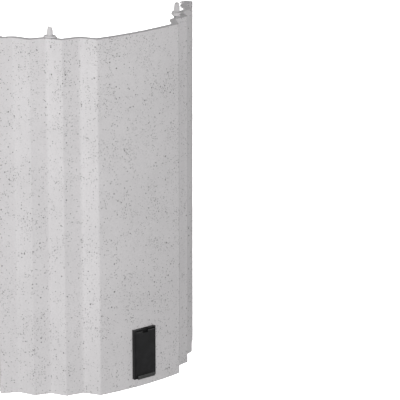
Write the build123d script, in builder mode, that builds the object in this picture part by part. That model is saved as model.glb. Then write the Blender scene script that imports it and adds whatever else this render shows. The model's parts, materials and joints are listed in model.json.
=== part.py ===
from build123d import *
import os
from math import acos, atan2, cos, degrees, hypot, pi, radians, sin, sqrt, tan

# Removable front door of a street cable cabinet. A thin moulded shell, bowed in the middle and
# stepped back at both sides, hangs by two pegs on its top rim and is locked at the bottom centre
# by a bolt that a profile half cylinder throws downwards. A black cover with a flap hides the key.
#
# Millimetres. +X is right seen from the street, -Y is the street side, +Z is up.
# The origin is the centre of the floor area under the door.

# ---- door shell ----
DOOR_HEIGHT = 865.0
DOOR_WIDTH = 591.0
WALL = 4.0
BOW_RISE = 10.0
# Each step is a ramp and then a strip, as (across, back), from the bow out to the side.
STEPS = [((21.5, 38.5), (43.5, 9.5)), ((17.0, 37.0), (39.0, 14.5)), ((15.0, 40.0), (38.5, 21.0))]
CREST_RADIUS = 5.0
VALLEY_RADIUS = 8.0
SIDE_RADIUS = 2.0
FLANGE_ACROSS = 9.5
FLANGE_BACK = 17.0
RIM_DEPTH = 15.0
RIB_DEPTH = 8.0
RIB_THICKNESS = 4.0
INNER_RIBS = 3

# ---- hanging pegs ----
PEG_RADIUS = 7.0
PEG_HEIGHT = 25.0
PEG_BASE_LENGTH = 30.0
PEG_BASE_WIDTH = 20.0
PEG_BASE_THICKNESS = 4.0
PEG_INSET = 16.0
PEG_STRAIGHT = 15.0
PEG_TIP_RADIUS = 5.0
PEG_SLANT = 28.0
PEG_PLATE_THICKNESS = 2.5
PEG_SCREW_RADIUS = 4.0
PEG_SCREW_REACH = 17.0
PEG_SCREW_HEAD_RADIUS = 7.5
PEG_SCREW_HEAD = 5.3

# ---- side seals ----
SEAL_WIDTH = 9.0
SEAL_HEIGHT = 5.0
SEAL_END_GAP = 10.0

# ---- lock cover ----
COVER_WIDTH = 64.0
COVER_HEIGHT = 123.0
COVER_BOTTOM = 23.0
COVER_PROUD = 9.5
COVER_EDGE = 2.6
GASKET = 1.5
APERTURE_WIDTH = 44.0
APERTURE_HEIGHT = 100.0
APERTURE_CORNER = 4.0
GASKET_CORNER = 1.0
NECK_CLEARANCE = 0.4
NECK_WALL = 2.6
SEAT_THICKNESS = 1.2
SEAT_MARGIN = 4.0

# ---- flap ----
FLAP_THICKNESS = 3.0
FLAP_SIDE_BAR = 4.5
FLAP_BOTTOM_BAR = 4.0
FLAP_TOP_BAR = 3.0
FLAP_CLEARANCE = 0.4
FLAP_SWING_GAP = 1.0
FLAP_PIN_RADIUS = 1.25
FLAP_PIN_GRIP = 2.5
RUNNING_CLEARANCE = 0.05
NOTCH_TOP_WIDTH = 20.0
NOTCH_BOTTOM_WIDTH = 15.0
NOTCH_HEIGHT = 10.0
LIP_PROUD = 6.0
LIP_HEIGHT = 9.0
LIP_OVERHANG = 3.5
LIP_INSET = 2.5
LIP_GROOVES = 6
LIP_GROOVE_WIDTH = 1.6
LIP_GROOVE_DEPTH = 0.9

# ---- profile half cylinder ----
CYLINDER_DROP = 55.0
CYLINDER_LENGTH = 40.0
CYLINDER_HEIGHT = 33.0
CYLINDER_RADIUS = 8.5
CYLINDER_WEB = 10.0
CYLINDER_CLEARANCE = 0.5
CYLINDER_FRONT_BODY = 25.0
CYLINDER_GAP = 10.0
PLUG_RADIUS = 6.5
PLUG_TAIL_RADIUS = 5.0
KEYWAY_WIDTH = 2.4
KEYWAY_HEIGHT = 8.6
KEYWAY_DEPTH = 24.0
TUMBLERS = 5
TUMBLER_PITCH = 4.2
TUMBLER_FIRST = 5.0
TUMBLER_RADIUS = 1.3
TUMBLER_WELL = 21.5
DRIVER_LENGTH = 4.5
SPRING_TURNS = 6
SPRING_WIRE_RADIUS = 0.2
CLIP_THICKNESS = 1.0
CLIP_WIDTH = 2.0
RETAINER_RADIUS = 2.5
RETAINER_DROP = 20.0
RETAINER_HEAD_RADIUS = 4.5
RETAINER_HEAD = 2.8

# ---- drive: gear on the cylinder, rack on the bolt ----
MODULE = 1.5
PINION_TEETH = 18
PRESSURE_ANGLE = radians(20)
BACKLASH = 0.3
TIP_CLEARANCE = 0.15
PINION_SIDE_GAP = 0.2
BOLT_THICKNESS = 8.0
BOLT_ARM = 5.625
BOLT_GROUND_GAP = 4.0
BOLT_TONGUE = 56.0
BOLT_CLEARANCE = 0.3
BOLT_NOSE = 2.0
STUD_RADIUS = 3.0

# ---- lock case ----
SHEET = 1.5
CASE_MARGIN = 4.0
CASE_DEPTH = 31.5
PILLAR_RADIUS = 3.5
PILLAR_INSET = 6.0
PILLAR_SPACING = 70.0
SCREW_RADIUS = 1.5
SCREW_HOLE_RADIUS = 1.7
SCREW_HEAD_RADIUS = 2.8
SCREW_HEAD = 2.2
LOCK_SCREW_INSET = 3.0
LOCK_SCREW_DROP = 15.0
LOCK_SCREW_GRIP = 3.5
SOCKET_WIDTH = 2.0
SOCKET_DEPTH = 1.2

# ---- bolt guide ----
GUIDE_HEIGHT = 12.0
GUIDE_GAP = 2.0
GUIDE_CHEEK = 8.0
GUIDE_BACK_WALL = 3.5
GUIDE_SCREW_GRIP = 4.5

# ---- places worked out from the sizes above ----
FRONT_REACH = BOW_RISE + COVER_PROUD + LIP_PROUD
BACK_REACH = sum(ramp[1] + strip[1] for ramp, strip in STEPS) + FLANGE_BACK
BOW_Y = (FRONT_REACH - BACK_REACH) / 2
BOW_HALF = DOOR_WIDTH / 2 - sum(ramp[0] + strip[0] for ramp, strip in STEPS)
BOW_FRONT_Y = BOW_Y - BOW_RISE
BOW_RADIUS = (BOW_HALF**2 + BOW_RISE**2) / (2 * BOW_RISE)
BOW_CENTRE_Y = BOW_FRONT_Y + BOW_RADIUS

# the flat seat for the lock case clears the hollow of the bow at the case's edges
CASE_HALF = COVER_WIDTH / 2 + CASE_MARGIN
BOW_SAG = BOW_RADIUS - WALL - sqrt((BOW_RADIUS - WALL)**2 - CASE_HALF**2)
SEAT_DEPTH = BOW_SAG + SEAT_THICKNESS
SEAT_Y = BOW_FRONT_Y + WALL + SEAT_DEPTH

COVER_FRONT_Y = BOW_FRONT_Y - COVER_PROUD
COVER_Z = COVER_BOTTOM + COVER_HEIGHT / 2
COVER_TOP = COVER_BOTTOM + COVER_HEIGHT
FLAP_HALF = COVER_WIDTH / 2 - FLAP_SIDE_BAR
FLAP_BOTTOM = COVER_BOTTOM + FLAP_BOTTOM_BAR
FLAP_PIN_Y = COVER_FRONT_Y + FLAP_THICKNESS
POCKET_TOP = COVER_TOP - FLAP_TOP_BAR
FLAP_PIN_Z = POCKET_TOP - FLAP_SWING_GAP - FLAP_THICKNESS
POCKET_FLOOR_Y = COVER_FRONT_Y + FLAP_THICKNESS + FLAP_CLEARANCE
KNUCKLE_FLOOR_Y = FLAP_PIN_Y + FLAP_THICKNESS + FLAP_CLEARANCE
NECK_HALF_WIDTH = APERTURE_WIDTH / 2 - NECK_CLEARANCE
NECK_HALF_HEIGHT = APERTURE_HEIGHT / 2 - NECK_CLEARANCE

CYLINDER_Z = COVER_TOP - CYLINDER_DROP
CYLINDER_FACE_Y = POCKET_FLOOR_Y
CYLINDER_BACK_Y = CYLINDER_FACE_Y + CYLINDER_LENGTH
GAP_FRONT_Y = CYLINDER_FACE_Y + CYLINDER_FRONT_BODY
GAP_BACK_Y = GAP_FRONT_Y + CYLINDER_GAP
GAP_MIDDLE_Y = GAP_FRONT_Y + CYLINDER_GAP / 2
PITCH_RADIUS = MODULE * PINION_TEETH / 2
TOOTH_PITCH = pi * MODULE
OUTER_RADIUS = PITCH_RADIUS + MODULE
ROOT_DEPTH = 1.25 * MODULE
BOLT_TRAVEL = PITCH_RADIUS * pi / 2
BOLT_WIDTH = 2 * (PITCH_RADIUS + ROOT_DEPTH + BOLT_ARM)
BOLT_BACK_Y = GAP_MIDDLE_Y + BOLT_THICKNESS / 2
BOLT_TOP = BOLT_GROUND_GAP + BOLT_TONGUE

CASE_BOTTOM = COVER_BOTTOM - CASE_MARGIN
CASE_TOP = COVER_TOP + CASE_MARGIN
CASE_BACK_Y = SEAT_Y + CASE_DEPTH
LOCK_SCREW_X = COVER_WIDTH / 2 - LOCK_SCREW_INSET
LOCK_SCREW_Z = COVER_HEIGHT / 2 - LOCK_SCREW_DROP
PILLAR_X = CASE_HALF - PILLAR_INSET + SHEET / 2
STUD_Z = CASE_BOTTOM + SHEET + 2 * STUD_RADIUS
GUIDE_BOTTOM = CASE_BOTTOM - GUIDE_GAP - GUIDE_HEIGHT
GUIDE_HALF = BOLT_WIDTH / 2 + GUIDE_CHEEK
GUIDE_BACK_Y = BOLT_BACK_Y + GUIDE_BACK_WALL
GUIDE_SCREW_X = BOLT_WIDTH / 2 + GUIDE_CHEEK / 2


def half_outline():
    """Corners of the right half of the plan, from the bow's edge to the side flange's end."""
    x, y = BOW_HALF, BOW_Y
    points = [(x, y)]
    for run in STEPS:
        for across, back in run:
            x, y = x + across, y + back
            points.append((x, y))
    points.append((x - FLANGE_ACROSS, y + FLANGE_BACK))
    return points


OUTLINE = half_outline()
CRESTS = OUTLINE[0:-2:2]
VALLEYS = OUTLINE[1:-2:2]
SIDE_EDGE = OUTLINE[-2]
FLANGE_END = OUTLINE[-1]


def facing(y):
    """The upright plane at depth y that looks to the street, with +X across and +Z up."""
    return Plane.XZ.offset(-y)


def both_sides(points):
    """The points and their mirror images across the door's middle."""
    return points + [(-x, y) for x, y in points]


def corners_at(builder, points):
    """The vertices of the sketch being built that stand at the given points."""
    return [v for v in builder.vertices() if any(hypot(v.X - x, v.Y - y) < 0.01 for x, y in points)]


def door_plan():
    """The whole area between the door's outer face and the line across its back."""
    with BuildSketch() as plan:
        with BuildLine():
            Polyline(*OUTLINE)
            ThreePointArc((-BOW_HALF, BOW_Y), (0, BOW_FRONT_Y), (BOW_HALF, BOW_Y))
            Polyline(*[(-x, y) for x, y in OUTLINE])
            Line(FLANGE_END, (-FLANGE_END[0], FLANGE_END[1]))
        make_face()
        fillet(corners_at(plan, both_sides(CRESTS)), CREST_RADIUS)
        fillet(corners_at(plan, both_sides(VALLEYS)), VALLEY_RADIUS)
        fillet(corners_at(plan, both_sides([SIDE_EDGE])), SIDE_RADIUS)
    return plan.sketch


def band_plan(plan, depth):
    """A band of the given depth that follows the door's outer face and is open at the back."""
    back_half = FLANGE_END[0] - 1.2 * depth
    with BuildSketch() as band:
        add(plan)
        offset(amount=-depth, kind=Kind.INTERSECTION, mode=Mode.SUBTRACT)
        with Locations((0, FLANGE_END[1])):
            Rectangle(2 * back_half, 2.5 * depth, mode=Mode.SUBTRACT)
    return band.sketch


def euro_profile(clearance=0.0):
    """Profile half cylinder seen end on: a round barrel over a narrow web."""
    drop = CYLINDER_HEIGHT - CYLINDER_RADIUS
    with BuildSketch() as profile:
        Circle(CYLINDER_RADIUS + clearance)
        with Locations((0, -drop / 2)):
            Rectangle(CYLINDER_WEB + 2 * clearance, drop + 2 * clearance)
        fillet(profile.vertices().group_by(Axis.Y)[0], CYLINDER_WEB / 2.1)
    return profile.sketch


def involute(angle):
    return tan(angle) - angle


def gear_plan():
    """Spur gear with involute flanks; one tooth points along the sketch's x."""
    base_radius = PITCH_RADIUS * cos(PRESSURE_ANGLE)
    root_radius = PITCH_RADIUS - ROOT_DEPTH
    half_pitch_angle = (TOOTH_PITCH / 2 - BACKLASH / 2) / 2 / PITCH_RADIUS
    flank = []
    for step in range(5):
        radius = base_radius + (OUTER_RADIUS - TIP_CLEARANCE - base_radius) * step / 4
        turn = half_pitch_angle + involute(PRESSURE_ANGLE) - involute(acos(base_radius / radius))
        flank.append((radius * cos(turn), radius * sin(turn)))
    foot = (flank[0][0] - base_radius + root_radius - TIP_CLEARANCE, flank[0][1])
    with BuildSketch() as tooth:
        with BuildLine():
            Line(foot, flank[0])
            Spline(*flank)
            Line(flank[-1], (flank[-1][0], -flank[-1][1]))
            Spline(*[(x, -y) for x, y in reversed(flank)])
            Line((flank[0][0], -flank[0][1]), (foot[0], -foot[1]))
            Line((foot[0], -foot[1]), foot)
        make_face()
    with BuildSketch() as gear:
        Circle(root_radius)
        with PolarLocations(0, PINION_TEETH):
            add(tooth.sketch)
    return gear.sketch


def rack_plan():
    """Bolt seen end on to the cylinder: a wide tongue, and a toothed arm beside the gear."""
    pitch_x = PITCH_RADIUS
    tip_x = pitch_x - MODULE + TIP_CLEARANCE
    root_x = pitch_x + ROOT_DEPTH
    half_tip = (TOOTH_PITCH / 2 - BACKLASH / 2) / 2 - (pitch_x - tip_x) * tan(PRESSURE_ANGLE)
    half_root = half_tip + (root_x - tip_x) * tan(PRESSURE_ANGLE)
    reach = OUTER_RADIUS
    first = -int(reach / TOOTH_PITCH)
    last = int((reach + BOLT_TRAVEL) / TOOTH_PITCH)
    arm_top = CYLINDER_Z + (last + 1) * TOOTH_PITCH
    half = BOLT_WIDTH / 2
    with BuildSketch() as bolt:
        with Locations((0, (BOLT_GROUND_GAP + BOLT_TOP) / 2)):
            Rectangle(BOLT_WIDTH, BOLT_TONGUE)
        with Locations(((root_x + half) / 2, (BOLT_GROUND_GAP + arm_top) / 2)):
            Rectangle(half - root_x, arm_top - BOLT_GROUND_GAP)
        for index in range(first, last + 1):
            z = CYLINDER_Z + (index + 0.5) * TOOTH_PITCH
            with BuildLine():
                Polyline((root_x + 1, z - half_root), (root_x, z - half_root), (tip_x, z - half_tip),
                         (tip_x, z + half_tip), (root_x, z + half_root), (root_x + 1, z + half_root),
                         close=True)
            make_face()
        with Locations((0, STUD_Z + BOLT_TRAVEL / 2)):
            SlotCenterToCenter(BOLT_TRAVEL, 2 * (STUD_RADIUS + BOLT_CLEARANCE), rotation=90,
                               mode=Mode.SUBTRACT)
        fillet(corners_at(bolt, [(-half, BOLT_TOP), (half, arm_top)]), BOLT_ARM / 2)
    return bolt.sketch


def notch_plan():
    """Trapezium at the top of the lock cover, seen from the street."""
    bottom = COVER_TOP - NOTCH_HEIGHT
    with BuildSketch() as notch:
        with BuildLine():
            Polyline((-NOTCH_BOTTOM_WIDTH / 2, bottom), (NOTCH_BOTTOM_WIDTH / 2, bottom),
                     (NOTCH_TOP_WIDTH / 2, COVER_TOP), (-NOTCH_TOP_WIDTH / 2, COVER_TOP), close=True)
        make_face()
    return notch.sketch


def lock_screw_places():
    """The four lock screws, across and up from the middle of the cover."""
    return GridLocations(2 * LOCK_SCREW_X, 2 * LOCK_SCREW_Z, 2, 2)


def pan_screw(length):
    """Pan-head M3 screw with a hexagon socket; its head stands on z = 0 and its shank points down."""
    with BuildPart() as screw:
        Cylinder(SCREW_RADIUS, length, align=(Align.CENTER, Align.CENTER, Align.MAX))
        Cylinder(SCREW_HEAD_RADIUS, SCREW_HEAD, align=(Align.CENTER, Align.CENTER, Align.MIN))
        fillet(screw.edges().sort_by(Axis.Z)[-1], SCREW_HEAD / 3)
        with BuildSketch(Plane.XY.offset(SCREW_HEAD)):
            RegularPolygon(SOCKET_WIDTH / 2, 6, major_radius=False)
        extrude(amount=-SOCKET_DEPTH, mode=Mode.SUBTRACT)
        chamfer(screw.edges().sort_by(Axis.Z)[0], SCREW_RADIUS / 4)
    return screw.part


def save(builder, name):
    """Label a finished piece and write its STEP file."""
    builder.part.label = name
    export_step(builder.part, f"parts/{name}.step")


os.makedirs("parts", exist_ok=True)

plan = door_plan()
rim = band_plan(plan, RIM_DEPTH)
rib = band_plan(plan, WALL + RIB_DEPTH)

# ---- pegs: where they stand on the top rim ----
# Each peg stands behind the middle ramp, and its base lies along that ramp.
ramp_foot = Vector(*CRESTS[1])
ramp_head = Vector(*VALLEYS[1])
ramp_along = (ramp_head - ramp_foot).normalized()
peg_point = ramp_head + Vector(-ramp_along.Y, ramp_along.X) * PEG_INSET - ramp_along * WALL / 2
peg_turn = degrees(atan2(ramp_along.Y, ramp_along.X))


def peg_plane(z):
    """The plane at height z on the right peg's axis, with x along the ramp."""
    return Plane(origin=(peg_point.X, peg_point.Y, z), x_dir=(ramp_along.X, ramp_along.Y, 0),
                 z_dir=(0, 0, 1))


# ---- door shell ----
with BuildPart() as door_shell:
    with BuildSketch():
        add(band_plan(plan, WALL))
    extrude(amount=DOOR_HEIGHT)
    # rim along the top edge, and ribs along the bottom edge and across the back
    with BuildSketch(Plane.XY.offset(DOOR_HEIGHT - RIB_THICKNESS)):
        add(rim)
    extrude(amount=RIB_THICKNESS)
    rib_step = (DOOR_HEIGHT - RIB_THICKNESS) / (INNER_RIBS + 1)
    for index in range(INNER_RIBS + 1):
        with BuildSketch(Plane.XY.offset(index * rib_step)):
            add(rib)
        extrude(amount=RIB_THICKNESS)
    # flat seat for the lock case behind the bow
    seat_bottom = RIB_THICKNESS
    seat_top = CASE_TOP + SEAT_MARGIN
    with BuildSketch(facing(SEAT_Y)):
        with Locations((0, (seat_bottom + seat_top) / 2)):
            Rectangle(2 * (CASE_HALF + SEAT_MARGIN), seat_top - seat_bottom)
    extrude(amount=WALL / 2 + SEAT_DEPTH)
    # pads that carry the pegs
    for side in (1, -1):
        with BuildSketch(Plane.XY.offset(DOOR_HEIGHT - RIB_THICKNESS)):
            with Locations(Location((side * peg_point.X, peg_point.Y, 0), (0, 0, side * peg_turn))):
                SlotOverall(PEG_BASE_LENGTH + WALL, PEG_BASE_WIDTH + WALL)
        extrude(amount=RIB_THICKNESS)
        with BuildSketch(Plane.XY.offset(DOOR_HEIGHT)):
            with Locations((side * peg_point.X, peg_point.Y)):
                Circle(PEG_SCREW_RADIUS)
        extrude(amount=-RIB_THICKNESS, mode=Mode.SUBTRACT)
    # opening for the lock cover's neck, and the holes round it
    with BuildSketch(facing(SEAT_Y)):
        with Locations((0, COVER_Z)):
            RectangleRounded(APERTURE_WIDTH, APERTURE_HEIGHT, APERTURE_CORNER)
            with lock_screw_places():
                Circle(SCREW_HOLE_RADIUS)
    extrude(amount=WALL + 2 * SEAT_DEPTH, mode=Mode.SUBTRACT)
    with BuildSketch(facing(SEAT_Y)):
        with Locations((GUIDE_SCREW_X, GUIDE_BOTTOM + GUIDE_HEIGHT / 2),
                       (-GUIDE_SCREW_X, GUIDE_BOTTOM + GUIDE_HEIGHT / 2)):
            Circle(SCREW_RADIUS)
    extrude(amount=GUIDE_SCREW_GRIP, mode=Mode.SUBTRACT)
save(door_shell, "door_shell")

# ---- hanging pegs ----
with BuildPart() as peg_right:
    with BuildSketch(peg_plane(DOOR_HEIGHT)):
        SlotOverall(PEG_BASE_LENGTH, PEG_BASE_WIDTH)
    extrude(amount=PEG_BASE_THICKNESS)
    fillet(peg_right.edges().group_by(Axis.Z)[-1], PEG_BASE_THICKNESS / 2)
    with BuildSketch(peg_plane(DOOR_HEIGHT)):
        Circle(PEG_RADIUS)
    extrude(amount=PEG_STRAIGHT)
    # the tip tapers and slopes down towards the street, so that the peg finds its hole
    with BuildSketch(peg_plane(DOOR_HEIGHT + PEG_STRAIGHT)):
        Circle(PEG_RADIUS)
    with BuildSketch(peg_plane(DOOR_HEIGHT + PEG_HEIGHT)):
        Circle(PEG_TIP_RADIUS)
    loft()
    tip_plane = peg_plane(DOOR_HEIGHT + PEG_HEIGHT)
    split(bisect_by=Plane(origin=tip_plane.from_local_coords((PEG_TIP_RADIUS / 2, 0, 0)),
                          z_dir=tip_plane.rotated((0, -PEG_SLANT, 0)).z_dir), keep=Keep.BOTTOM)
    tip_edges = peg_right.edges().filter_by(GeomType.LINE, reverse=True).sort_by(Axis.Z)[-2:]
    fillet(tip_edges, PEG_TIP_RADIUS / 6)
    with BuildSketch(peg_plane(DOOR_HEIGHT)):
        Circle(PEG_SCREW_RADIUS)
    extrude(amount=PEG_SCREW_REACH - RIB_THICKNESS - PEG_PLATE_THICKNESS, mode=Mode.SUBTRACT)
save(peg_right, "peg_right")

with BuildPart() as peg_left:
    mirror(peg_right.part, about=Plane.YZ)
save(peg_left, "peg_left")

plate_top = DOOR_HEIGHT - RIB_THICKNESS
with BuildPart() as peg_plate_right:
    with BuildSketch(peg_plane(plate_top)):
        SlotOverall(PEG_BASE_LENGTH, PEG_BASE_WIDTH)
        Circle(PEG_SCREW_RADIUS, mode=Mode.SUBTRACT)
    extrude(amount=-PEG_PLATE_THICKNESS)
save(peg_plate_right, "peg_plate_right")

with BuildPart() as peg_plate_left:
    mirror(peg_plate_right.part, about=Plane.YZ)
save(peg_plate_left, "peg_plate_left")

with BuildPart() as peg_screws:
    with BuildSketch(peg_plane(plate_top - PEG_PLATE_THICKNESS)):
        Circle(PEG_SCREW_RADIUS)
    extrude(amount=PEG_SCREW_REACH)
    with BuildSketch(peg_plane(plate_top - PEG_PLATE_THICKNESS)):
        RegularPolygon(PEG_SCREW_HEAD_RADIUS, 6)
    extrude(amount=-PEG_SCREW_HEAD)
    mirror(about=Plane.YZ)
save(peg_screws, "peg_screws")

# ---- side seals on the inner faces of the side flanges ----
flange_along = Vector(-FLANGE_ACROSS, FLANGE_BACK).normalized()
flange_inward = Vector(-flange_along.Y, flange_along.X)
flange_length = hypot(FLANGE_ACROSS, FLANGE_BACK)
seal_middle = Vector(*SIDE_EDGE) + flange_along * (flange_length + WALL) / 2 + flange_inward * WALL
seal_plane = Plane(origin=(seal_middle.X, seal_middle.Y, RIB_THICKNESS + SEAL_END_GAP),
                   x_dir=(flange_along.X, flange_along.Y, 0), z_dir=(0, 0, 1))
bay_height = rib_step - RIB_THICKNESS
with BuildPart() as seal_right:
    # one strip in each bay between the ribs
    for index in range(INNER_RIBS + 1):
        with BuildSketch(seal_plane.offset(index * rib_step)):
            with Locations((0, SEAL_HEIGHT / 2)):
                Rectangle(SEAL_WIDTH, SEAL_HEIGHT)
        extrude(amount=bay_height - 2 * SEAL_END_GAP)
save(seal_right, "seal_right")

with BuildPart() as seal_left:
    mirror(seal_right.part, about=Plane.YZ)
save(seal_left, "seal_left")

# ---- lock cover: the frame round the flap ----
with BuildPart() as lock_frame:
    with BuildSketch(facing(COVER_FRONT_Y)):
        with Locations((0, COVER_Z)):
            Rectangle(COVER_WIDTH, COVER_HEIGHT)
    extrude(amount=-(COVER_PROUD + WALL))
    fillet(lock_frame.faces().sort_by(Axis.Y)[0].edges(), COVER_EDGE)
    # its back follows the bowed door, one gasket away
    with Locations((0, BOW_CENTRE_Y, COVER_Z)):
        Cylinder(BOW_RADIUS + GASKET, 2 * COVER_HEIGHT, mode=Mode.SUBTRACT)
    # neck through the door, back to the seat
    with BuildSketch(facing(SEAT_Y)):
        with Locations((0, COVER_Z)):
            RectangleRounded(2 * NECK_HALF_WIDTH, 2 * NECK_HALF_HEIGHT, APERTURE_CORNER - NECK_CLEARANCE)
    extrude(amount=SEAT_Y - KNUCKLE_FLOOR_Y)
    with BuildSketch(facing(SEAT_Y)):
        with Locations((0, COVER_Z)):
            Rectangle(2 * (NECK_HALF_WIDTH - NECK_WALL), 2 * (NECK_HALF_HEIGHT - 2 * NECK_WALL))
    extrude(amount=SEAT_Y - KNUCKLE_FLOOR_Y, mode=Mode.SUBTRACT)
    # pocket for the flap, deeper where its knuckles turn, with a slope above them
    pocket_half = FLAP_HALF + FLAP_CLEARANCE
    with BuildSketch(facing(COVER_FRONT_Y)):
        with Locations((0, (FLAP_BOTTOM - FLAP_CLEARANCE + POCKET_TOP) / 2)):
            Rectangle(2 * pocket_half, POCKET_TOP - FLAP_BOTTOM + FLAP_CLEARANCE)
    extrude(amount=COVER_FRONT_Y - POCKET_FLOOR_Y, mode=Mode.SUBTRACT)
    slope = FLAP_THICKNESS - FLAP_SWING_GAP
    knuckle_low = FLAP_PIN_Z - FLAP_THICKNESS - FLAP_CLEARANCE
    with BuildSketch(Plane.YZ.offset(-pocket_half)):
        with BuildLine():
            Polyline((KNUCKLE_FLOOR_Y, knuckle_low), (KNUCKLE_FLOOR_Y, POCKET_TOP),
                     (COVER_FRONT_Y + slope, POCKET_TOP), (COVER_FRONT_Y, POCKET_TOP + slope),
                     (COVER_FRONT_Y - 1, POCKET_TOP + slope), (COVER_FRONT_Y - 1, knuckle_low),
                     close=True)
        make_face()
    extrude(amount=2 * pocket_half, mode=Mode.SUBTRACT)
    # notch in the top bar, in line with the flap's
    with BuildSketch(facing(KNUCKLE_FLOOR_Y)):
        add(notch_plan())
    extrude(amount=KNUCKLE_FLOOR_Y - COVER_FRONT_Y, mode=Mode.SUBTRACT)
    with BuildSketch(Plane.YZ.offset(-pocket_half - FLAP_PIN_GRIP)):
        with Locations((FLAP_PIN_Y, FLAP_PIN_Z)):
            Circle(FLAP_PIN_RADIUS)
    extrude(amount=2 * (pocket_half + FLAP_PIN_GRIP), mode=Mode.SUBTRACT)
    # seat of the half cylinder, and the four screw holes
    with BuildSketch(facing(KNUCKLE_FLOOR_Y)):
        with Locations((0, CYLINDER_Z)):
            add(euro_profile(CYLINDER_CLEARANCE / 2))
    extrude(amount=KNUCKLE_FLOOR_Y - COVER_FRONT_Y, mode=Mode.SUBTRACT)
    with BuildSketch(facing(SEAT_Y)):
        with Locations((0, COVER_Z)):
            with lock_screw_places():
                Circle(SCREW_RADIUS)
    extrude(amount=SEAT_Y - BOW_FRONT_Y + LOCK_SCREW_GRIP + GASKET, mode=Mode.SUBTRACT)
save(lock_frame, "lock_frame")

with BuildPart() as frame_gasket:
    with BuildSketch(facing(BOW_FRONT_Y + WALL)):
        with Locations((0, COVER_Z)):
            RectangleRounded(COVER_WIDTH, COVER_HEIGHT, GASKET_CORNER)
            RectangleRounded(APERTURE_WIDTH, APERTURE_HEIGHT, APERTURE_CORNER, mode=Mode.SUBTRACT)
            with lock_screw_places():
                Circle(SCREW_HOLE_RADIUS, mode=Mode.SUBTRACT)
    extrude(amount=WALL + 2 * GASKET)
    with Locations((0, BOW_CENTRE_Y, COVER_Z)):
        Cylinder(BOW_RADIUS + GASKET, 2 * COVER_HEIGHT, mode=Mode.INTERSECT)
        Cylinder(BOW_RADIUS, 2 * COVER_HEIGHT, mode=Mode.SUBTRACT)
save(frame_gasket, "frame_gasket")

# ---- flap ----
with BuildPart() as lock_flap:
    with BuildSketch(facing(COVER_FRONT_Y + FLAP_THICKNESS)):
        with Locations((0, (FLAP_BOTTOM + FLAP_PIN_Z) / 2)):
            Rectangle(2 * FLAP_HALF, FLAP_PIN_Z - FLAP_BOTTOM)
    extrude(amount=FLAP_THICKNESS)
    with BuildSketch(Plane.YZ.offset(-FLAP_HALF)):
        with Locations((FLAP_PIN_Y, FLAP_PIN_Z)):
            Circle(FLAP_THICKNESS)
    extrude(amount=2 * FLAP_HALF)
    # finger lip with grooves along its front, hanging over the frame's bottom bar
    lip_half = FLAP_HALF - LIP_INSET
    lip_bottom = FLAP_BOTTOM - LIP_OVERHANG
    with BuildSketch(facing(COVER_FRONT_Y)):
        with Locations((0, lip_bottom + LIP_HEIGHT / 2)):
            Rectangle(2 * lip_half, LIP_HEIGHT)
    extrude(amount=LIP_PROUD)
    fillet(lock_flap.faces().sort_by(Axis.Y)[0].edges(), LIP_HEIGHT / 6)
    with BuildSketch(facing(COVER_FRONT_Y - LIP_PROUD)):
        with Locations((0, lip_bottom + LIP_HEIGHT / 2)):
            with GridLocations(2 * lip_half / (LIP_GROOVES + 1), 0, LIP_GROOVES, 1):
                Rectangle(LIP_GROOVE_WIDTH, LIP_HEIGHT)
    extrude(amount=-LIP_GROOVE_DEPTH, mode=Mode.SUBTRACT)
    with BuildSketch(facing(COVER_FRONT_Y)):
        with Locations((0, FLAP_BOTTOM - LIP_OVERHANG / 2)):
            Rectangle(2 * FLAP_HALF, LIP_OVERHANG)
    extrude(amount=FLAP_CLEARANCE, mode=Mode.SUBTRACT)
    # notch between the knuckles
    with BuildSketch(facing(KNUCKLE_FLOOR_Y)):
        add(notch_plan())
    extrude(amount=KNUCKLE_FLOOR_Y - COVER_FRONT_Y, mode=Mode.SUBTRACT)
    with BuildSketch(Plane.YZ.offset(-FLAP_HALF)):
        with Locations((FLAP_PIN_Y, FLAP_PIN_Z)):
            Circle(FLAP_PIN_RADIUS + RUNNING_CLEARANCE)
    extrude(amount=2 * FLAP_HALF, mode=Mode.SUBTRACT)
save(lock_flap, "lock_flap")

with BuildPart() as flap_pin:
    with BuildSketch(Plane.YZ.offset(-pocket_half - FLAP_PIN_GRIP)):
        with Locations((FLAP_PIN_Y, FLAP_PIN_Z)):
            Circle(FLAP_PIN_RADIUS)
    extrude(amount=2 * (pocket_half + FLAP_PIN_GRIP))
save(flap_pin, "flap_pin")

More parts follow.
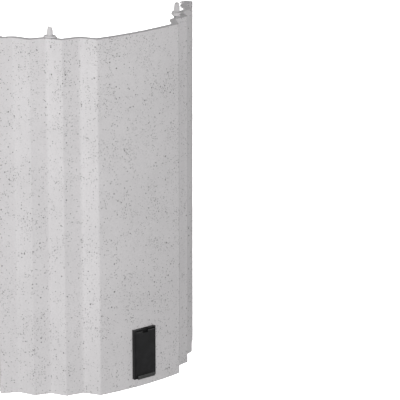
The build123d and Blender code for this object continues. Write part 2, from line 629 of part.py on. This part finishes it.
# ---- profile half cylinder ----
tumbler_places = [(0, CYLINDER_FACE_Y + TUMBLER_FIRST + index * TUMBLER_PITCH) for index in range(TUMBLERS)]
shear_z = CYLINDER_Z - PLUG_RADIUS
with BuildPart() as cylinder_body:
    with BuildSketch(facing(CYLINDER_BACK_Y)):
        with Locations((0, CYLINDER_Z)):
            add(euro_profile())
    extrude(amount=CYLINDER_LENGTH)
    # gap where the gear turns
    with BuildSketch(facing(GAP_BACK_Y)):
        with Locations((0, CYLINDER_Z)):
            Circle(OUTER_RADIUS + BOLT_CLEARANCE)
    extrude(amount=CYLINDER_GAP, mode=Mode.SUBTRACT)
    with BuildSketch(facing(GAP_FRONT_Y)):
        with Locations((0, CYLINDER_Z)):
            Circle(PLUG_RADIUS + RUNNING_CLEARANCE)
    extrude(amount=CYLINDER_FRONT_BODY, mode=Mode.SUBTRACT)
    with BuildSketch(facing(CYLINDER_BACK_Y)):
        with Locations((0, CYLINDER_Z)):
            Circle(PLUG_TAIL_RADIUS + RUNNING_CLEARANCE)
    extrude(amount=CYLINDER_LENGTH - CYLINDER_FRONT_BODY - CYLINDER_GAP, mode=Mode.SUBTRACT)
    # wells for the tumblers, and the retaining screw's thread
    with BuildSketch(Plane.XY.offset(CYLINDER_Z - TUMBLER_WELL)):
        with Locations(*tumbler_places):
            Circle(TUMBLER_RADIUS)
    extrude(amount=TUMBLER_WELL - PLUG_RADIUS + 1, mode=Mode.SUBTRACT)
    with BuildSketch(Plane.YZ.offset(-CYLINDER_WEB / 2)):
        with Locations((GAP_MIDDLE_Y, CYLINDER_Z - RETAINER_DROP)):
            Circle(RETAINER_RADIUS)
    extrude(amount=CYLINDER_WEB, mode=Mode.SUBTRACT)
save(cylinder_body, "cylinder_body")

with BuildPart() as cylinder_plug:
    with BuildSketch(facing(GAP_BACK_Y - PINION_SIDE_GAP)):
        with Locations((0, CYLINDER_Z)):
            Circle(PLUG_RADIUS)
    extrude(amount=GAP_BACK_Y - PINION_SIDE_GAP - CYLINDER_FACE_Y)
    with BuildSketch(facing(CYLINDER_BACK_Y + CLIP_THICKNESS + PINION_SIDE_GAP)):
        with Locations((0, CYLINDER_Z)):
            Circle(PLUG_TAIL_RADIUS)
    extrude(amount=CYLINDER_BACK_Y + CLIP_THICKNESS + 2 * PINION_SIDE_GAP - GAP_BACK_Y)
    # keyway: a slot with one side step
    with BuildSketch(facing(CYLINDER_FACE_Y + KEYWAY_DEPTH)):
        with Locations((0, CYLINDER_Z - PLUG_RADIUS + KEYWAY_HEIGHT / 2 + 1)):
            Rectangle(KEYWAY_WIDTH / 2, KEYWAY_HEIGHT)
        with Locations((KEYWAY_WIDTH / 4, CYLINDER_Z)):
            Rectangle(KEYWAY_WIDTH, KEYWAY_HEIGHT / 4)
    extrude(amount=KEYWAY_DEPTH, mode=Mode.SUBTRACT)
    with BuildSketch(Plane.XY.offset(shear_z - 1)):
        with Locations(*tumbler_places):
            Circle(TUMBLER_RADIUS)
    extrude(amount=PLUG_RADIUS + 1, mode=Mode.SUBTRACT)
save(cylinder_plug, "cylinder_plug")

# The tumblers stand at the shear line, as they do while the key is in.
with BuildPart() as key_pins:
    with BuildSketch(Plane.XY.offset(shear_z + TUMBLER_RADIUS / 3)):
        with Locations(*tumbler_places):
            Circle(TUMBLER_RADIUS - RUNNING_CLEARANCE)
    extrude(amount=PLUG_RADIUS - 2 * TUMBLER_RADIUS)
save(key_pins, "key_pins")

driver_top = shear_z - TUMBLER_RADIUS / 3
with BuildPart() as driver_pins:
    with BuildSketch(Plane.XY.offset(driver_top)):
        with Locations(*tumbler_places):
            Circle(TUMBLER_RADIUS - RUNNING_CLEARANCE)
    extrude(amount=-DRIVER_LENGTH)
save(driver_pins, "driver_pins")

well_floor = CYLINDER_Z - TUMBLER_WELL
spring_height = driver_top - DRIVER_LENGTH - well_floor - 2 * SPRING_WIRE_RADIUS - 4 * RUNNING_CLEARANCE
spring_radius = TUMBLER_RADIUS - SPRING_WIRE_RADIUS - 2 * RUNNING_CLEARANCE
spring_centre = (0, tumbler_places[0][1], well_floor + SPRING_WIRE_RADIUS + 2 * RUNNING_CLEARANCE)
with BuildPart() as pin_springs:
    with BuildLine():
        coil = Helix(pitch=spring_height / SPRING_TURNS, height=spring_height, radius=spring_radius,
                     center=spring_centre)
    with BuildSketch(coil ^ 0):
        Circle(SPRING_WIRE_RADIUS)
    sweep(is_frenet=True)
    first_spring = pin_springs.part
    with Locations([(0, index * TUMBLER_PITCH, 0) for index in range(1, TUMBLERS)]):
        add(first_spring)
save(pin_springs, "pin_springs")

with BuildPart() as drive_pinion:
    with BuildSketch(facing(GAP_BACK_Y - PINION_SIDE_GAP)):
        with Locations((0, CYLINDER_Z)):
            add(gear_plan())
            Circle(PLUG_RADIUS, mode=Mode.SUBTRACT)
    extrude(amount=CYLINDER_GAP - 2 * PINION_SIDE_GAP)
save(drive_pinion, "drive_pinion")

with BuildPart() as plug_clip:
    with BuildSketch(facing(CYLINDER_BACK_Y + CLIP_THICKNESS + PINION_SIDE_GAP / 2)):
        with Locations((0, CYLINDER_Z)):
            Circle(PLUG_TAIL_RADIUS + CLIP_WIDTH)
            Circle(PLUG_TAIL_RADIUS, mode=Mode.SUBTRACT)
        with Locations((0, CYLINDER_Z + PLUG_TAIL_RADIUS + CLIP_WIDTH / 2)):
            Rectangle(2 * CLIP_WIDTH, 2 * CLIP_WIDTH, mode=Mode.SUBTRACT)
    extrude(amount=CLIP_THICKNESS)
save(plug_clip, "plug_clip")

with BuildPart() as cylinder_screw:
    shank_tip = CYLINDER_WEB / 2 - RUNNING_CLEARANCE
    with BuildSketch(Plane.YZ.offset(-CASE_HALF)):
        with Locations((GAP_MIDDLE_Y, CYLINDER_Z - RETAINER_DROP)):
            Circle(RETAINER_RADIUS)
    extrude(amount=CASE_HALF + shank_tip)
    with BuildSketch(Plane.YZ.offset(-CASE_HALF)):
        with Locations((GAP_MIDDLE_Y, CYLINDER_Z - RETAINER_DROP)):
            Circle(RETAINER_HEAD_RADIUS)
    extrude(amount=-RETAINER_HEAD)
    fillet(cylinder_screw.edges().sort_by(Axis.X)[0], RETAINER_HEAD / 3)
    with BuildSketch(Plane.YZ.offset(-CASE_HALF - RETAINER_HEAD)):
        with Locations((GAP_MIDDLE_Y, CYLINDER_Z - RETAINER_DROP)):
            RegularPolygon(SOCKET_WIDTH / 2, 6, major_radius=False)
    extrude(amount=SOCKET_DEPTH, mode=Mode.SUBTRACT)
save(cylinder_screw, "cylinder_screw")

# ---- lock case ----
case_middle = (CASE_BOTTOM + CASE_TOP) / 2
with BuildPart() as lock_case:
    with BuildSketch(facing(SEAT_Y)):
        with Locations((0, case_middle)):
            Rectangle(2 * CASE_HALF, CASE_TOP - CASE_BOTTOM)
    extrude(amount=-CASE_DEPTH)
    with BuildSketch(facing(SEAT_Y + SHEET)):
        with Locations((0, case_middle)):
            Rectangle(2 * (CASE_HALF - SHEET), CASE_TOP - CASE_BOTTOM - 2 * SHEET)
    extrude(amount=-CASE_DEPTH, mode=Mode.SUBTRACT)
    with BuildSketch(facing(SEAT_Y + SHEET)):
        with Locations((0, CYLINDER_Z)):
            add(euro_profile(CYLINDER_CLEARANCE))
        with Locations((0, COVER_Z)):
            with lock_screw_places():
                Circle(SCREW_HOLE_RADIUS)
    extrude(amount=SHEET, mode=Mode.SUBTRACT)
    # way out for the bolt, and the retaining screw's hole
    with BuildSketch(Plane.XY.offset(CASE_BOTTOM)):
        with Locations((0, GAP_MIDDLE_Y)):
            Rectangle(BOLT_WIDTH + 2 * BOLT_CLEARANCE, BOLT_THICKNESS + 2 * BOLT_CLEARANCE)
    extrude(amount=SHEET, mode=Mode.SUBTRACT)
    with BuildSketch(Plane.YZ.offset(-CASE_HALF)):
        with Locations((GAP_MIDDLE_Y, CYLINDER_Z - RETAINER_DROP)):
            Circle(RETAINER_RADIUS)
    extrude(amount=SHEET, mode=Mode.SUBTRACT)
save(lock_case, "lock_case")


def pillar_places():
    return GridLocations(2 * PILLAR_X, PILLAR_SPACING, 2, 2)


with BuildPart() as case_pillars:
    with BuildSketch(facing(CASE_BACK_Y)):
        with Locations((0, case_middle)):
            with pillar_places():
                RegularPolygon(PILLAR_RADIUS, 6)
                Circle(SCREW_RADIUS, mode=Mode.SUBTRACT)
    extrude(amount=CASE_DEPTH - SHEET)
save(case_pillars, "case_pillars")

with BuildPart() as case_cover:
    with BuildSketch(facing(CASE_BACK_Y + SHEET)):
        with Locations((0, case_middle)):
            RectangleRounded(2 * CASE_HALF, CASE_TOP - CASE_BOTTOM, 2 * SHEET)
            with pillar_places():
                Circle(SCREW_RADIUS, mode=Mode.SUBTRACT)
        with Locations((0, STUD_Z)):
            Circle(STUD_RADIUS / 2, mode=Mode.SUBTRACT)
    extrude(amount=SHEET)
save(case_cover, "case_cover")

with BuildPart() as guide_stud:
    with BuildSketch(facing(CASE_BACK_Y)):
        with Locations((0, STUD_Z)):
            Circle(STUD_RADIUS)
    extrude(amount=CASE_DEPTH - SHEET)
    # riveted end through the case cover
    with BuildSketch(facing(CASE_BACK_Y)):
        with Locations((0, STUD_Z)):
            Circle(STUD_RADIUS / 2)
    extrude(amount=-SHEET)
save(guide_stud, "guide_stud")

# ---- bolt ----
with BuildPart() as lock_bolt:
    with BuildSketch(facing(BOLT_BACK_Y)):
        add(rack_plan())
    extrude(amount=BOLT_THICKNESS)
    chamfer(lock_bolt.faces().sort_by(Axis.Z)[0].edges().filter_by(Axis.X), BOLT_NOSE)
save(lock_bolt, "lock_bolt")

# ---- bolt guide on the seat, below the case ----
guide_middle = GUIDE_BOTTOM + GUIDE_HEIGHT / 2
with BuildPart() as bolt_guide:
    with BuildSketch(facing(GUIDE_BACK_Y)):
        with Locations((0, guide_middle)):
            Rectangle(2 * GUIDE_HALF, GUIDE_HEIGHT)
    extrude(amount=GUIDE_BACK_Y - SEAT_Y)
    fillet(bolt_guide.edges().filter_by(Axis.Y), GUIDE_BACK_WALL / 2)
    with BuildSketch(Plane.XY.offset(GUIDE_BOTTOM)):
        with Locations((0, GAP_MIDDLE_Y)):
            Rectangle(BOLT_WIDTH + 2 * BOLT_CLEARANCE, BOLT_THICKNESS + 2 * BOLT_CLEARANCE)
    extrude(amount=GUIDE_HEIGHT, mode=Mode.SUBTRACT)
    with BuildSketch(facing(GUIDE_BACK_Y)):
        with Locations((GUIDE_SCREW_X, guide_middle), (-GUIDE_SCREW_X, guide_middle)):
            Circle(SCREW_RADIUS)
    extrude(amount=GUIDE_BACK_Y - SEAT_Y, mode=Mode.SUBTRACT)
save(bolt_guide, "bolt_guide")


def screws_from_behind(y, length, places):
    """Pan screws with their heads on the plane at depth y, driven towards the street."""
    screw = pan_screw(length)
    with BuildPart() as screws:
        for x, z in places:
            with Locations(Plane(origin=(x, y, z), x_dir=(1, 0, 0), z_dir=(0, 1, 0))):
                add(screw)
    return screws


def corners_of_rectangle(half_width, half_height, centre_z):
    """Four places round a middle height, as (x, z)."""
    return [(sx * half_width, centre_z + sz * half_height) for sx in (1, -1) for sz in (1, -1)]


lock_screws = screws_from_behind(
    SEAT_Y + SHEET, SEAT_Y + SHEET - BOW_FRONT_Y + GASKET + LOCK_SCREW_GRIP - 2 * RUNNING_CLEARANCE,
    corners_of_rectangle(LOCK_SCREW_X, LOCK_SCREW_Z, COVER_Z))
save(lock_screws, "lock_screws")

cover_screws = screws_from_behind(
    CASE_BACK_Y + SHEET, CASE_DEPTH / 3, corners_of_rectangle(PILLAR_X, PILLAR_SPACING / 2, case_middle))
save(cover_screws, "cover_screws")

guide_screws = screws_from_behind(
    GUIDE_BACK_Y, GUIDE_BACK_Y - SEAT_Y + GUIDE_SCREW_GRIP - 2 * RUNNING_CLEARANCE,
    [(GUIDE_SCREW_X, guide_middle), (-GUIDE_SCREW_X, guide_middle)])
save(guide_screws, "guide_screws")
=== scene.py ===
"""Looks of the removable front door of a street cable cabinet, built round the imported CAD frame."""

import json
from math import cos, radians, sin

import bpy
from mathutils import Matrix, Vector


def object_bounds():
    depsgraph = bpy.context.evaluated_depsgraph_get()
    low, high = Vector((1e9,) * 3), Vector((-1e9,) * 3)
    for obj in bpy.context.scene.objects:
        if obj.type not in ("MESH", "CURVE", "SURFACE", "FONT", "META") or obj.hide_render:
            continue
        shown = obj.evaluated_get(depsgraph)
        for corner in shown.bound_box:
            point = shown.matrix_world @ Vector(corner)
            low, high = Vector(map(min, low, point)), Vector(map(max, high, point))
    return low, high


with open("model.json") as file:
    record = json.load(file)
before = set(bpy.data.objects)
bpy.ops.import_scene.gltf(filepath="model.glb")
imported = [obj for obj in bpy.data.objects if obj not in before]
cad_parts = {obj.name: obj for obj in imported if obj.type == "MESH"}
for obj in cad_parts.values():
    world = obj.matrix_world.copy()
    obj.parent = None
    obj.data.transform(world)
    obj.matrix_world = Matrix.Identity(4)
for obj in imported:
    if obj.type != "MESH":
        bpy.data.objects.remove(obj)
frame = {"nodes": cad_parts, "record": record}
cad_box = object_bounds()

MM = 0.001

# ---- camera ----
CAMERA_PLACE = (-4.194, -5.348, 2.494)
CAMERA_YAW = radians(39.709)
CAMERA_PITCH = radians(16.808)
CAMERA_LENS = 270.0
CAMERA_SENSOR = 36.0

# ---- studio ----
AMBIENT = 0.22
FLOOR_HALF_WIDTH = 30.0
BOX_DISTANCE = 4.0
BOX_SIZE = 2.0
BACK_BOX_SIZE = 2.5
TOP_BOX_DISTANCE = 3.0
WASH_DISTANCE = 6.0
WASH_SIZE = 6.0


class Graph:
    """A new material's node tree, with short ways to add to it."""

    def __init__(self, name):
        self.material = bpy.data.materials.new(name)
        self.material.use_nodes = True
        self.tree = self.material.node_tree
        self.shader = self.tree.nodes["Principled BSDF"]
        self.place = self.add("ShaderNodeTexCoord").outputs["Object"]

    def feed(self, socket, value):
        """Link the socket to another socket, or set it to a constant."""
        if isinstance(value, bpy.types.NodeSocket):
            self.tree.links.new(value, socket)
        else:
            socket.default_value = value

    def add(self, kind, settings=(), **inputs):
        """A new node. settings are its own properties; inputs are sockets, with _ for a space."""
        node = self.tree.nodes.new(kind)
        for key, value in dict(settings).items():
            setattr(node, key, value)
        for key, value in inputs.items():
            self.feed(node.inputs[key.replace("_", " ")], value)
        return node

    def finish(self, **inputs):
        """Set the surface shader's sockets and return the material."""
        for key, value in inputs.items():
            self.feed(self.shader.inputs[key.replace("_", " ")], value)
        return self.material

    def math(self, operation, *values, clamp=False):
        node = self.add("ShaderNodeMath", {"operation": operation, "use_clamp": clamp})
        for socket, value in zip(node.inputs, values):
            self.feed(socket, value)
        return node.outputs["Value"]

    def noise(self, scale, detail=2.0, roughness=0.5, distortion=0.0, vector=None):
        """Fractal noise of scale features per metre, from 0 to 1."""
        node = self.add("ShaderNodeTexNoise", Vector=vector or self.place, Scale=scale, Detail=detail,
                        Roughness=roughness, Distortion=distortion)
        return node.outputs["Fac"]

    def stretched(self, x, y, z):
        """The place on the object with each axis scaled, for grain that runs one way."""
        node = self.add("ShaderNodeMapping", Vector=self.place, Scale=(x, y, z))
        return node.outputs["Vector"]

    def shaken(self, scale, reach):
        """The place on the object moved about by up to reach metres, for ragged outlines."""
        push = self.add("ShaderNodeTexNoise", Vector=self.place, Scale=scale, Detail=2.0)
        centred = self.add("ShaderNodeVectorMath", {"operation": "SUBTRACT"})
        self.feed(centred.inputs[0], push.outputs["Color"])
        centred.inputs[1].default_value = (0.5, 0.5, 0.5)
        scaled = self.add("ShaderNodeVectorMath", {"operation": "SCALE"}, Scale=2 * reach)
        self.feed(scaled.inputs[0], centred.outputs[0])
        moved = self.add("ShaderNodeVectorMath", {"operation": "ADD"})
        self.feed(moved.inputs[0], self.place)
        self.feed(moved.inputs[1], scaled.outputs[0])
        return moved.outputs[0]

    def ramp(self, value, low, high, start=0.0, end=1.0):
        """Smooth step of value from low to high, giving start to end."""
        node = self.add("ShaderNodeMapRange", {"interpolation_type": "SMOOTHSTEP"}, Value=value,
                        From_Min=low, From_Max=high, To_Min=start, To_Max=end)
        return node.outputs["Result"]

    def mix(self, factor, first, second):
        """Colour between first and second."""
        node = self.add("ShaderNodeMix", {"data_type": "RGBA"})
        self.feed(node.inputs["Factor"], factor)
        self.feed(node.inputs[6], first)
        self.feed(node.inputs[7], second)
        return node.outputs[2]

    def grains(self, vector, pitch, radius, share):
        """(1 on a grain and 0 off it, a random number for each grain). Grains of up to that
        radius stand in a share of cells pitch metres apart."""
        cells = self.add("ShaderNodeTexVoronoi", Vector=vector, Scale=1 / pitch)
        random = self.add("ShaderNodeSeparateColor", Color=cells.outputs["Color"])
        chosen = self.math("LESS_THAN", random.outputs[0], share)
        size = self.math("MULTIPLY_ADD", random.outputs[1], 0.5 * radius / pitch, 0.5 * radius / pitch)
        inside = self.math("SUBTRACT", size, cells.outputs["Distance"])
        disc = self.ramp(inside, -0.05, 0.05)
        return self.math("MULTIPLY", disc, chosen), random.outputs[2]

    def bump(self, height, depth, strength=1.0, normal=None):
        """Surface normal from a height from 0 to 1 that stands for depth metres."""
        node = self.add("ShaderNodeBump", Height=height, Distance=depth, Strength=strength)
        if normal is not None:
            self.feed(node.inputs["Normal"], normal)
        return node.outputs["Normal"]


def grey(value, tint=0.0):
    """Linear grey, with a little less green where tint is above 0."""
    return (value * (1 + tint), value * (1 - tint), value, 1.0)


# ---------------------------------------------------------------- materials


def moulded_shell():
    """Light grey glass-fibre compound with dark mineral grains strewn in clusters and wandering lines."""
    g = Graph("moulded_shell")
    ragged = g.shaken(900, 0.5 * MM)
    wander = g.noise(9, detail=3.0, roughness=0.6, distortion=0.8)
    vein = g.ramp(g.math("ABSOLUTE", g.math("SUBTRACT", wander, 0.5)), 0.0, 0.035, 1.0, 0.0)
    patch = g.ramp(g.noise(16, detail=2.0), 0.5, 0.68)
    crowd = g.math("MAXIMUM", vein, patch)
    share = g.math("MULTIPLY_ADD", crowd, 0.5, 0.1)
    fine, fine_tone = g.grains(ragged, 2.9 * MM, 1.3 * MM, share)
    dust, dust_tone = g.grains(ragged, 1.7 * MM, 0.5 * MM, g.math("MULTIPLY_ADD", crowd, 0.35, 0.12))
    coarse, coarse_tone = g.grains(ragged, 9 * MM, 1.9 * MM, g.math("MULTIPLY_ADD", crowd, 0.3, 0.2))
    cloud = g.noise(6, detail=4.0, roughness=0.65)
    mottle = g.noise(240, detail=3.0)
    body = g.mix(g.ramp(cloud, 0.3, 0.7), grey(0.585, 0.012), grey(0.625, 0.012))
    body = g.mix(g.ramp(mottle, 0.35, 0.65, 0.0, 0.35), body, grey(0.52, 0.012))
    body = g.mix(g.math("MULTIPLY", dust, g.ramp(dust_tone, 0.0, 1.0, 0.25, 0.75)), body, grey(0.22))
    body = g.mix(g.math("MULTIPLY", fine, g.ramp(fine_tone, 0.0, 1.0, 0.25, 1.0)), body, grey(0.155))
    body = g.mix(g.math("MULTIPLY", coarse, g.ramp(coarse_tone, 0.1, 1.0, 0.6, 1.0)), body, grey(0.06))
    skin = g.bump(g.noise(330, detail=2.0), 0.05 * MM, 0.5)
    pits = g.bump(g.math("MAXIMUM", fine, coarse), -0.06 * MM, 0.5, skin)
    dull = g.ramp(g.noise(120, detail=3.0), 0.3, 0.7, 0.5, 0.62)
    return g.finish(Base_Color=body, Roughness=dull, Normal=pits, Specular_IOR_Level=0.4)


def grey_plastic():
    """Smooth light grey moulded plastic, a little paler than the door."""
    g = Graph("grey_plastic")
    body = g.mix(g.ramp(g.noise(60, detail=4.0), 0.35, 0.65), grey(0.5, 0.01), grey(0.56, 0.01))
    skin = g.bump(g.noise(700, detail=2.0), 0.02 * MM, 0.5)
    dull = g.ramp(g.noise(160, detail=3.0), 0.3, 0.7, 0.34, 0.46)
    return g.finish(Base_Color=body, Roughness=dull, Normal=skin, Specular_IOR_Level=0.45)


def black_plastic():
    """Black moulded plastic with a fine spark-eroded grain, and a painted highlight that makes the flap's
    proud finger lip paler.
    """
    g = Graph("black_plastic")
    rub = g.ramp(g.noise(35, detail=5.0, roughness=0.7), 0.45, 0.75)
    body = g.mix(rub, (0.0078, 0.0078, 0.0086, 1), (0.0155, 0.0155, 0.0168, 1))
    place = g.add("ShaderNodeSeparateXYZ", Vector=g.place)
    cover_face = frame["nodes"]["lock_frame"].bound_box[0][1]
    # Painted highlight: where the finger lip stands proud of the cover face it is made paler, broken up by
    # noise, as if it caught the light.
    proud = g.ramp(g.math("SUBTRACT", cover_face, place.outputs["Y"]), 1.5 * MM, 4.5 * MM)
    lip_highlight = g.math("MULTIPLY", proud, g.ramp(g.noise(220, detail=4.0), 0.2, 0.6, 0.6, 1.0))
    body = g.mix(lip_highlight, body, grey(0.06, -0.01))
    grain = g.bump(g.noise(1600, detail=2.0), 0.03 * MM, 0.6)
    dull = g.ramp(g.noise(90, detail=4.0), 0.3, 0.7, 0.36, 0.5)
    return g.finish(Base_Color=body, Roughness=dull, Normal=grain, Specular_IOR_Level=0.35)


def foam_rubber():
    """Closed-cell foam rubber: matt black with small pores."""
    g = Graph("foam_rubber")
    cells = g.add("ShaderNodeTexVoronoi", Vector=g.place, Scale=1400.0)
    pore = g.ramp(cells.outputs["Distance"], 0.1, 0.5)
    body = g.mix(pore, grey(0.012), grey(0.04))
    return g.finish(Base_Color=body, Roughness=0.85, Normal=g.bump(pore, 0.2 * MM), Specular_IOR_Level=0.25)


def zinc_steel():
    """Zinc-plated pressed steel: soft blotches, and faint rolling lines along its height."""
    g = Graph("zinc_steel")
    lines = g.noise(1, detail=4.0, vector=g.stretched(900, 900, 14))
    blotch = g.noise(70, detail=5.0, roughness=0.65)
    body = g.mix(g.ramp(blotch, 0.3, 0.7), (0.52, 0.54, 0.56, 1), (0.68, 0.69, 0.68, 1))
    body = g.mix(g.ramp(lines, 0.45, 0.75, 0.0, 0.5), body, (0.42, 0.44, 0.47, 1))
    dull = g.ramp(blotch, 0.3, 0.75, 0.28, 0.46)
    return g.finish(Base_Color=body, Metallic=1.0, Roughness=dull, Normal=g.bump(lines, 0.02 * MM, 0.5))


def bright_steel():
    """Bright drawn steel with fine turning lines."""
    g = Graph("bright_steel")
    lines = g.noise(1, detail=3.0, vector=g.stretched(300, 2600, 300))
    body = g.mix(g.ramp(lines, 0.35, 0.65), (0.55, 0.55, 0.56, 1), (0.74, 0.74, 0.73, 1))
    dull = g.ramp(g.noise(200, detail=3.0), 0.3, 0.7, 0.2, 0.34)
    return g.finish(Base_Color=body, Metallic=1.0, Roughness=dull, Normal=g.bump(lines, 0.01 * MM, 0.6))


def blackened_steel():
    """Oil-blackened steel with small rubbed spots."""
    g = Graph("blackened_steel")
    rubbed = g.ramp(g.noise(400, detail=4.0), 0.6, 0.75)
    body = g.mix(rubbed, (0.012, 0.012, 0.013, 1), (0.09, 0.09, 0.095, 1))
    dull = g.ramp(rubbed, 0.0, 1.0, 0.5, 0.35)
    return g.finish(Base_Color=body, Metallic=1.0, Roughness=dull,
                    Normal=g.bump(g.noise(900), 0.01 * MM, 0.5))


def satin_nickel():
    """Satin nickel plating, brushed across, with small scuffs."""
    g = Graph("satin_nickel")
    lines = g.noise(1, detail=4.0, vector=g.stretched(160, 2200, 2200))
    scuff = g.ramp(g.noise(150, detail=6.0, roughness=0.75), 0.58, 0.7)
    body = g.mix(g.ramp(lines, 0.35, 0.65), (0.56, 0.53, 0.47, 1), (0.7, 0.66, 0.6, 1))
    body = g.mix(scuff, body, (0.45, 0.42, 0.36, 1))
    dull = g.ramp(lines, 0.3, 0.7, 0.26, 0.4)
    return g.finish(Base_Color=body, Metallic=1.0, Roughness=dull, Normal=g.bump(lines, 0.01 * MM, 0.6))


def brass():
    """Machined brass, slightly dulled, with turning lines."""
    g = Graph("brass")
    lines = g.noise(1, detail=3.0, vector=g.stretched(260, 2600, 2600))
    dulled = g.ramp(g.noise(110, detail=5.0, roughness=0.7), 0.45, 0.7)
    body = g.mix(g.ramp(lines, 0.35, 0.65), (0.70, 0.52, 0.24, 1), (0.85, 0.67, 0.36, 1))
    body = g.mix(dulled, body, (0.5, 0.36, 0.17, 1))
    dull = g.ramp(dulled, 0.0, 1.0, 0.24, 0.42)
    return g.finish(Base_Color=body, Metallic=1.0, Roughness=dull, Normal=g.bump(lines, 0.01 * MM, 0.6))


FINISHES = (moulded_shell, grey_plastic, black_plastic, foam_rubber, zinc_steel, bright_steel,
            blackened_steel, satin_nickel, brass)


def dress_cad_nodes():
    """Give every CAD node the procedural finish that its record slot names."""
    made = {make.__name__: make() for make in FINISHES}
    for part in frame["record"]["subparts"]:
        for place in frame["nodes"][part["node"]].material_slots:
            place.material = made[part["material_slot"]]


# ---------------------------------------------------------------- studio


def floor_material():
    """Pale studio paper with a faint tooth."""
    g = Graph("studio_floor")
    body = g.mix(g.noise(3, detail=3.0), grey(0.93), grey(0.95))
    return g.finish(Base_Color=body, Roughness=0.9, Normal=g.bump(g.noise(400), 0.05 * MM, 0.3),
                    Specular_IOR_Level=0.1)


def make_floor():
    """A wide pale floor that the door's bottom edge stands on. It throws no light back at the door."""
    low = cad_box[0].z
    mesh = bpy.data.meshes.new("studio_floor")
    corners = [(x * FLOOR_HALF_WIDTH, y * FLOOR_HALF_WIDTH, low)
               for x, y in ((-1, -1), (1, -1), (1, 1), (-1, 1))]
    mesh.from_pydata(corners, [], [(0, 1, 2, 3)])
    floor = bpy.data.objects.new("studio_floor", mesh)
    floor.data.materials.append(floor_material())
    bpy.context.collection.objects.link(floor)
    floor.visible_diffuse = False
    floor.visible_glossy = False
    return floor


def soft_light(name, azimuth, elevation, distance, size, watts, aim_height, shadow=True, glossy=False):
    """Square soft box that looks at a height on the door's middle line, from an azimuth in degrees
    from the street side. Only a glossy one shows as a sheen on smooth plastic and metal."""
    data = bpy.data.lights.new(name, "AREA")
    data.shape = "SQUARE"
    data.size = size
    data.energy = watts
    data.use_shadow = shadow
    light = bpy.data.objects.new(name, data)
    light.visible_glossy = glossy
    bpy.context.collection.objects.link(light)
    a, e = radians(azimuth), radians(elevation)
    away = Vector((sin(a) * cos(e), -cos(a) * cos(e), sin(e)))
    light.location = Vector((0, 0, aim_height)) + away * distance
    light.rotation_mode = "QUATERNION"
    light.rotation_quaternion = away.to_track_quat("Z", "Y")
    return light


def make_lights(floor):
    """Shadowless wrap and a weaker key from the left, a fill from the right with the sheen, soft top
    and back lights, and a light for the floor alone."""
    middle = cad_box[1].z / 2
    soft_light("key_light", -58, 10, BOX_DISTANCE, BOX_SIZE, 23, middle)
    soft_light("wrap_light", -60, 10, BOX_DISTANCE, BOX_SIZE, 120, middle, shadow=False)
    soft_light("fill_light", 50, 5, BOX_DISTANCE, BOX_SIZE, 60, middle, shadow=False, glossy=True)
    soft_light("top_light", 0, 80, TOP_BOX_DISTANCE, BACK_BOX_SIZE, 4, middle, glossy=True)
    soft_light("back_light", 165, 30, BOX_DISTANCE, BACK_BOX_SIZE, 70, middle)
    wash = soft_light("floor_light", 20, 85, WASH_DISTANCE, WASH_SIZE, 1100, 0.0, shadow=False)
    lit = bpy.data.collections.new("lit_by_floor_light")
    lit.objects.link(floor)
    wash.light_linking.receiver_collection = lit


def make_world():
    """Even pale surroundings."""
    world = bpy.data.worlds.new("studio_world")
    bpy.context.scene.world = world
    world.use_nodes = True
    sky = world.node_tree.nodes["Background"]
    sky.inputs["Color"].default_value = (1, 1, 1, 1)
    sky.inputs["Strength"].default_value = AMBIENT


def make_camera():
    """Long lens from the front left, looking a little down."""
    data = bpy.data.cameras.new("camera")
    data.lens = CAMERA_LENS
    data.sensor_width = CAMERA_SENSOR
    data.clip_start = 0.1
    data.clip_end = 200
    camera = bpy.data.objects.new("camera", data)
    bpy.context.collection.objects.link(camera)
    camera.location = CAMERA_PLACE
    level = cos(CAMERA_PITCH)
    forward = Vector((sin(CAMERA_YAW) * level, cos(CAMERA_YAW) * level, -sin(CAMERA_PITCH)))
    camera.rotation_mode = "QUATERNION"
    camera.rotation_quaternion = forward.to_track_quat("-Z", "Y")
    bpy.context.scene.camera = camera


dress_cad_nodes()
make_lights(make_floor())
make_world()
make_camera()
bpy.context.scene.view_settings.view_transform = "Standard"
